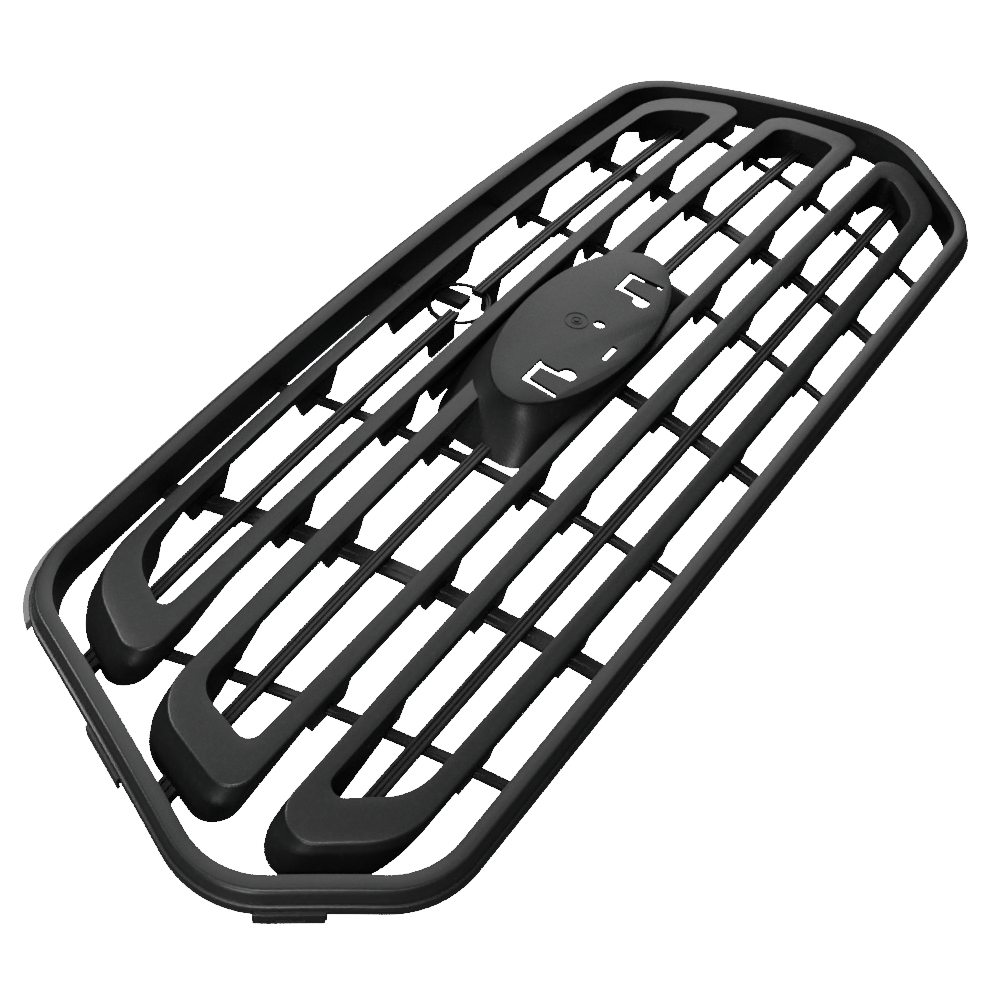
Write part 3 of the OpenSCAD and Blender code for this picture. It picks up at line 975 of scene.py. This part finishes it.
@dataclass
class Fixings:
    """The lip along the top edge, the slotted side tabs and the struts of the loops."""

    wall_offset: float = 17.0
    lip_width: float = 4.0
    lip_levels: tuple[float, float] = (12.0, 20.0)
    lip_end: float = 160.0
    tab_thickness: float = 2.4
    tab_levels: tuple[float, float] = (6.5, 17.0)
    slot_levels: tuple[float, float] = (8.7, 10.7)
    tab_spans: tuple[tuple[float, float], ...] = ((31.0, 73.0), (-121.0, -87.4))
    slot_spans: tuple[tuple[float, float], ...] = ((43.0, 61.0), (-112.6, -98.2))
    struts_at: tuple[tuple[float, float, float], ...] = ((391.0, 415.0, 105.0), (427.0, 458.0, 2.0))

    def band(
        self, offsets: tuple[float, float], levels: tuple[float, float], low: float, high: float
    ) -> bmesh.types.BMesh:
        """Make the part of a ring round the surround that lies between two heights.

        Args:
            offsets: Inner and outer distance from the surround's inner edge.
            levels: Lowest and highest level.
            low: Height at which the band starts.
            high: Height at which the band ends.

        Returns:
            A closed flat mesh, one solid on each side of the middle.
        """
        bm = bmesh.new()
        (near, far), (floor, top) = offsets, levels
        section = ((near, floor), (near, top), (far - 0.4, top), (far, top - 0.4), (far, floor))
        sweep(bm, [Station(SURROUND, offset, level) for offset, level in section])
        for spot, way in ((low, -1), (high, 1)):
            geom = bm.verts[:] + bm.edges[:] + bm.faces[:]
            bmesh.ops.bisect_plane(
                bm, geom=geom, dist=1e-4, plane_co=(0, spot, 0), plane_no=(0, way, 0), clear_outer=True,
            )
        bmesh.ops.holes_fill(bm, edges=[e for e in bm.edges if e.is_boundary], sides=12)
        bmesh.ops.recalc_face_normals(bm, faces=bm.faces)
        return bm

    def lip(self, shop: Workshop) -> None:
        """Build the lip along the top edge."""
        offsets = (self.wall_offset - 0.3, self.wall_offset + self.lip_width)
        bm = self.band(offsets, self.lip_levels, self.lip_end, 400.0)
        NOSE.drape(bm)
        lip = shop.deliver(bm, "lip", Slot.SURROUND, ["top_flange"])
        # Painted highlight: the pale grey finish stands in for light catching the lip.
        lip.data.materials[0] = shop.painted_lip_sheen

    def tabs(self, shop: Workshop) -> None:
        """Build the four slotted tabs."""
        bm = bmesh.new()
        for (low, high), (start, stop) in zip(self.tab_spans, self.slot_spans):
            tab = self.band(
                (self.wall_offset - 0.2, self.wall_offset + self.tab_thickness), self.tab_levels, low, high,
            )
            slot = self.band((self.wall_offset - 2, self.wall_offset + 5), self.slot_levels, start, stop)
            subtract(tab, slot)
            join(bm, tab)
        NOSE.drape(bm)
        shop.deliver(bm, "tabs", Slot.SURROUND, ["side_tabs"], weld=False)

    def struts(self, shop: Workshop) -> None:
        """Build the short grooved struts between the loops and the surround."""
        bm = bmesh.new()
        profile = (
            (0.0, -3.0), (14.0, -3.0), (14.0, 4.2), (13.2, 5.0), (11.0, 5.0), (10.4, 4.0), (8.8, 4.0),
            (8.2, 5.0), (5.8, 5.0), (5.2, 4.0), (3.6, 4.0), (3.0, 5.0), (0.8, 5.0), (0.0, 4.2),
        )
        for start, stop, low in self.struts_at:
            for side in (-1, 1):
                strut = bmesh.new()
                ring = [Vector((side * start, low + y, z)) for y, z in profile]
                prism(strut, ring, Vector((side * (stop - start), 0, 0)))
                join(bm, strut)
        NOSE.drape(bm)
        shop.deliver(bm, "struts", Slot.BARS, ["loop_struts"], weld=False)

    def build(self, shop: Workshop) -> None:
        """Build every fixing."""
        self.lip(shop)
        self.tabs(shop)
        self.struts(shop)


@dataclass
class Studio:
    """Floor, soft light and camera."""

    lens: float = 54.0
    place: tuple[float, float, float] = (-0.7636, -0.3790, 0.84067)
    right: tuple[float, float, float] = (0.5666, -0.8195, 0.0855)
    ahead: tuple[float, float, float] = (0.5817, 0.3243, -0.7460)
    floor_glow: float = 60.0

    def camera(self) -> None:
        """Make the camera and look through it."""
        data = bpy.data.cameras.new("view")
        data.lens = self.lens
        data.sensor_width = 36.0
        data.clip_start, data.clip_end = 0.01, 50.0
        eye = bpy.data.objects.new("view", data)
        ahead = Vector(self.ahead).normalized()
        right = Vector(self.right)
        right = (right - ahead * right.dot(ahead)).normalized()
        up = right.cross(ahead)
        turn = Matrix((right, up, -ahead)).transposed().to_4x4()
        eye.matrix_world = Matrix.Translation(self.place) @ turn
        bpy.context.scene.collection.objects.link(eye)
        bpy.context.scene.camera = eye

    def floor(self) -> None:
        """Make the plain pale floor."""
        bm = bmesh.new()
        bmesh.ops.create_grid(bm, x_segments=1, y_segments=1, size=20.0)
        mesh = bpy.data.meshes.new("floor")
        bm.to_mesh(mesh)
        bm.free()
        paint = bpy.data.materials.new("floor_paint")
        paint.use_nodes = True
        tree = paint.node_tree
        shader = tree.nodes["Principled BSDF"]
        shader.inputs["Base Color"].default_value = (0.10, 0.10, 0.10, 1)
        shader.inputs["Roughness"].default_value = 0.9
        glow = tree.nodes.new("ShaderNodeEmission")
        glow.inputs["Strength"].default_value = self.floor_glow
        path = tree.nodes.new("ShaderNodeLightPath")
        blend = tree.nodes.new("ShaderNodeMixShader")
        tree.links.new(path.outputs["Is Camera Ray"], blend.inputs["Fac"])
        tree.links.new(shader.outputs["BSDF"], blend.inputs[1])
        tree.links.new(glow.outputs["Emission"], blend.inputs[2])
        tree.links.new(blend.outputs["Shader"], tree.nodes["Material Output"].inputs["Surface"])
        mesh.materials.append(paint)
        ground = bpy.data.objects.new("floor", mesh)
        ground.location.z = -0.0005
        bpy.context.scene.collection.objects.link(ground)

    def lamp(self, name: str, place: tuple[float, float, float], size: float, power: float) -> None:
        """Hang a square soft lamp that faces the grille."""
        data = bpy.data.lights.new(name, "AREA")
        data.size, data.energy = size, power
        lamp = bpy.data.objects.new(name, data)
        lamp.location = place
        lamp.rotation_euler = (-Vector(place)).to_track_quat("-Z", "Y").to_euler()
        bpy.context.scene.collection.objects.link(lamp)

    def build(self) -> None:
        """Make the whole studio."""
        world = bpy.data.worlds.new("studio")
        bpy.context.scene.world = world
        world.use_nodes = True
        world.node_tree.nodes["Background"].inputs["Color"].default_value = (1, 1, 1, 1)
        world.node_tree.nodes["Background"].inputs["Strength"].default_value = 0.07
        self.floor()
        self.lamp("overhead", (1.3, 1.05, 2.4), 2.4, 38.0)
        self.lamp("far", (2.6, 1.3, 1.1), 2.0, 22.0)
        self.lamp("edge", (-0.95, 1.8, 1.5), 0.5, 34.0)
        self.lamp("ridge", (-1.35, -0.55, 1.7), 0.4, 22.0)
        self.lamp("low", (-2.4, -0.7, 0.3), 0.35, 18.0)
        self.camera()


def main() -> None:
    """Build the studio and every sub-assembly, and report each piece."""
    logging.basicConfig(level=logging.INFO, format="%(name)s: %(message)s")
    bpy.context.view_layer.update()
    Studio().build()
    shop = Workshop()
    shop.stock()
    Surround().build(shop)
    inner, every, sides = (1, 2, 3, 4, 5), tuple(range(7)), (0, 1, 2, 4, 5, 6)
    for loop in (
        BarLoop("upper_bars", UPPER_OUTER, UPPER_WINDOW, ("upper_loop",), (inner, inner),
                (320.0, 356.0), (311.0, 325.0), middle_tips=(50.0, 95.0)),
        BarLoop("middle_bars", MIDDLE_OUTER, MIDDLE_WINDOW, ("middle_loop",), (sides, sides),
                (372.0, 404.0), (363.0, 377.0)),
        BarLoop("lower_bars", LOWER_OUTER, LOWER_WINDOW, ("lower_loop",), (every, every),
                (362.0, 404.0), (340.0, 354.0)),
    ):
        loop.build(shop)
    for slat in (
        Slat("slat_upper_left", "upper_slat_left", 105.6, 108.8, -357.0, -15.0, (1, 2), collar_web=True),
        Slat("slat_upper_right", "upper_slat_right", 105.6, 108.8, 15.0, 357.0, (4, 5), collar_web=True),
        Slat("slat_middle_left", "middle_slat_left", 1.4, 4.5, -402.0, -108.0, (0, 1)),
        Slat("slat_middle_right", "middle_slat_right", 1.4, 4.5, 108.0, 402.0, (5, 6)),
        Slat("slat_lower", "lower_slat", -106.4, -101.3, -398.0, 398.0, every),
    ):
        slat.build(shop)
    for i in range(7):
        Rib(i, 14.2 if i in (1, 3, 5) else 8.2).build(shop)
    BadgePod().build(shop)
    LockCollar().build(shop)
    Fixings().build(shop)
    LOG.info("%d pieces", len(shop.made))


if __name__ == "__main__":
    main()
